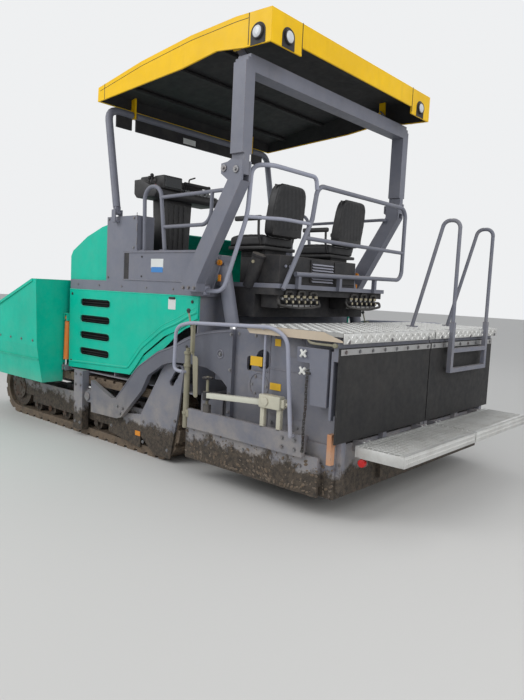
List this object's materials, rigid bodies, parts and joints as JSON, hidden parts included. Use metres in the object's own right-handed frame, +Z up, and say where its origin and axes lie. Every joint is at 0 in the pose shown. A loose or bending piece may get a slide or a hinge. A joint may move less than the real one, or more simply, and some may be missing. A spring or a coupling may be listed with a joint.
{
  "type": "tracked asphalt paver",
  "caption": "Tracked road paver: hopper with tipping wings and push rollers in front, covered engine, roofed platform, augers, towed screed with sliding extensions and rear steps",
  "frame": {"origin": "middle of the bounding box seen from above, on the ground under the tracks", "axes": "+X forward to the hopper, +Y to the machine's left, +Z up"},
  "size_m": [6.15, 3.176, 3.85],
  "materials": {
    "green": "gloss",
    "grey": "satin",
    "dark": "satin",
    "steel": "worn",
    "chrome": "polished",
    "yellow": "gloss",
    "orange": "gloss",
    "rubber": "matt",
    "aluminium": "satin",
    "track": "dirty",
    "plastic": "matt",
    "seat": "matt"
  },
  "bodies": {
    "chassis": {"chassis_frame": "grey", "hopper_frame": "grey", "tow_columns": "grey", "auger_drive": "grey", "engine_block": "dark", "deck": "grey", "engine_cover": "green", "platform_base": "dark", "console": "plastic", "seats": "seat", "railings": "grey", "roof_legs": "grey", "conveyors": "steel", "tracks": "track", "track_frames": "grey", "hoses_valves": "dark"},
    "door_left": {"door_left": "green"},
    "door_right": {"door_right": "green"},
    "engine_lid": {"engine_lid": "green"},
    "wing_left": {"wing_left": "green"},
    "wing_right": {"wing_right": "green"},
    "wing_barrel_left": {"wing_barrel_left": "orange"},
    "wing_rod_left": {"wing_rod_left": "chrome"},
    "wing_barrel_right": {"wing_barrel_right": "orange"},
    "wing_rod_right": {"wing_rod_right": "chrome"},
    "apron": {"apron": "rubber"},
    "roller_beam": {"roller_beam": "grey"},
    "push_roller_left": {"push_roller_left": "steel"},
    "push_roller_right": {"push_roller_right": "steel"},
    "auger_left": {"auger_left": "steel"},
    "auger_right": {"auger_right": "steel"},
    "screed": {"tow_arms": "grey", "screed_base": "grey"},
    "lift_barrel_left": {"lift_barrel_left": "grey"},
    "lift_rod_left": {"lift_rod_left": "chrome"},
    "lift_barrel_right": {"lift_barrel_right": "grey"},
    "lift_rod_right": {"lift_rod_right": "chrome"},
    "extension_left": {"extension_left": "grey", "mat_left": "rubber", "walkway_left": "aluminium"},
    "extension_right": {"extension_right": "grey", "mat_right": "rubber", "walkway_right": "aluminium"},
    "step_left": {"step_left": "aluminium"},
    "step_right": {"step_right": "aluminium"},
    "rear_roof_posts": {"rear_roof_posts": "grey"},
    "roof": {"roof": "yellow"},
    "front_roof_posts": {"front_roof_posts": "grey"}
  },
  "joints": [
    {"name": "door_left_swing", "type": "hinge", "parent": "chassis", "child": "door_left", "pos_m": [0, 1.217, 1.592], "axis": [1, 0, 0], "range_deg": [0, 75]},
    {"name": "door_right_swing", "type": "hinge", "parent": "chassis", "child": "door_right", "pos_m": [0, -1.217, 1.592], "axis": [-1, 0, 0], "range_deg": [0, 75]},
    {"name": "engine_lid_swing", "type": "hinge", "parent": "chassis", "child": "engine_lid", "pos_m": [1, 0, 2.09], "axis": [0, 1, 0], "range_deg": [0, 55]},
    {"name": "wing_left_tip", "type": "hinge", "parent": "chassis", "child": "wing_left", "pos_m": [0, 0.72, 0.74], "axis": [1, 0, 0], "range_deg": [0, 42]},
    {"name": "wing_right_tip", "type": "hinge", "parent": "chassis", "child": "wing_right", "pos_m": [0, -0.72, 0.74], "axis": [-1, 0, 0], "range_deg": [0, 42]},
    {"name": "wing_barrel_left_pin", "type": "hinge", "parent": "wing_left", "child": "wing_barrel_left", "pos_m": [1.192, 1.215, 1.27], "axis": [1, 0, 0], "range_deg": [-12, 3]},
    {"name": "wing_barrel_right_pin", "type": "hinge", "parent": "wing_right", "child": "wing_barrel_right", "pos_m": [1.192, -1.215, 1.27], "axis": [-1, 0, 0], "range_deg": [-12, 3]},
    {"name": "wing_rod_left_slide", "type": "slide", "parent": "wing_barrel_left", "child": "wing_rod_left", "axis": [0, 0.0298, -0.9996], "range_m": [0, 0.36]},
    {"name": "wing_rod_right_slide", "type": "slide", "parent": "wing_barrel_right", "child": "wing_rod_right", "axis": [0, -0.0298, -0.9996], "range_m": [0, 0.36]},
    {"name": "apron_fold", "type": "hinge", "parent": "chassis", "child": "apron", "pos_m": [2.862, 0, 0.61], "axis": [0, 1, 0], "range_deg": [0, 50]},
    {"name": "roller_beam_swing", "type": "hinge", "parent": "chassis", "child": "roller_beam", "pos_m": [2.862, 0, 0.45], "axis": [0, 0, 1], "range_deg": [-6, 6]},
    {"name": "push_roller_left_spin", "type": "hinge", "parent": "roller_beam", "child": "push_roller_left", "pos_m": [2.995, 0.3, 0.48], "axis": [0, 1, 0], "continuous": true},
    {"name": "push_roller_right_spin", "type": "hinge", "parent": "roller_beam", "child": "push_roller_right", "pos_m": [2.995, -0.3, 0.48], "axis": [0, 1, 0], "continuous": true},
    {"name": "auger_left_spin", "type": "hinge", "parent": "chassis", "child": "auger_left", "pos_m": [-1.205, 0.6, 0.43], "axis": [0, 1, 0], "continuous": true},
    {"name": "auger_right_spin", "type": "hinge", "parent": "chassis", "child": "auger_right", "pos_m": [-1.205, -0.6, 0.43], "axis": [0, 1, 0], "continuous": true},
    {"name": "screed_lift", "type": "hinge", "parent": "chassis", "child": "screed", "pos_m": [0.66, 0, 0.46], "axis": [0, 1, 0], "range_deg": [-2.9, 4]},
    {"name": "lift_barrel_left_pin", "type": "hinge", "parent": "chassis", "child": "lift_barrel_left", "pos_m": [-1.035, 1.01, 1.93], "axis": [0, 1, 0], "range_deg": [-2, 2]},
    {"name": "lift_barrel_right_pin", "type": "hinge", "parent": "chassis", "child": "lift_barrel_right", "pos_m": [-1.035, -1.01, 1.93], "axis": [0, 1, 0], "range_deg": [-2, 2]},
    {"name": "lift_rod_left_slide", "type": "slide", "parent": "lift_barrel_left", "child": "lift_rod_left", "axis": [-0.2567, 0, -0.9665], "range_m": [-0.15, 0.11]},
    {"name": "lift_rod_right_slide", "type": "slide", "parent": "lift_barrel_right", "child": "lift_rod_right", "axis": [-0.2567, 0, -0.9665], "range_m": [-0.15, 0.11]},
    {"name": "extension_left_slide", "type": "slide", "parent": "screed", "child": "extension_left", "axis": [0, 1, 0], "range_m": [0, 1.2]},
    {"name": "extension_right_slide", "type": "slide", "parent": "screed", "child": "extension_right", "axis": [0, -1, 0], "range_m": [0, 1.2]},
    {"name": "step_left_fold", "type": "hinge", "parent": "extension_left", "child": "step_left", "pos_m": [-2.664, 0.6, 0.588], "axis": [0, 1, 0], "range_deg": [0, 85]},
    {"name": "step_right_fold", "type": "hinge", "parent": "extension_right", "child": "step_right", "pos_m": [-2.664, -0.6, 0.588], "axis": [0, 1, 0], "range_deg": [0, 85]},
    {"name": "roof_fold", "type": "hinge", "parent": "chassis", "child": "rear_roof_posts", "pos_m": [-1.458, 0, 2.645], "axis": [0, -1, 0], "range_deg": [0, 70]},
    {"name": "roof_level", "type": "hinge", "parent": "rear_roof_posts", "child": "roof", "pos_m": [-1.258, 0, 3.695], "axis": [0, 1, 0], "range_deg": [0, 70]},
    {"name": "front_posts_fold", "type": "hinge", "parent": "chassis", "child": "front_roof_posts", "pos_m": [0.29, 0, 2.392], "axis": [0, -1, 0], "range_deg": [0, 70]}
  ],
  "couplings": [
    {"joint": "wing_barrel_left_pin", "follows": "wing_left_tip", "ratio": -0.25254},
    {"joint": "wing_barrel_right_pin", "follows": "wing_right_tip", "ratio": -0.25254},
    {"joint": "wing_rod_left_slide", "follows": "wing_left_tip", "m_per_rad": 0.468},
    {"joint": "wing_rod_right_slide", "follows": "wing_right_tip", "m_per_rad": 0.468},
    {"joint": "lift_barrel_left_pin", "follows": "screed_lift", "ratio": -0.05522},
    {"joint": "lift_barrel_right_pin", "follows": "screed_lift", "ratio": -0.05522},
    {"joint": "lift_rod_left_slide", "follows": "screed_lift", "m_per_rad": -2.0138},
    {"joint": "lift_rod_right_slide", "follows": "screed_lift", "m_per_rad": -2.0138},
    {"joint": "roof_level", "follows": "roof_fold", "ratio": 1},
    {"joint": "front_posts_fold", "follows": "roof_fold", "ratio": 1}
  ]
}
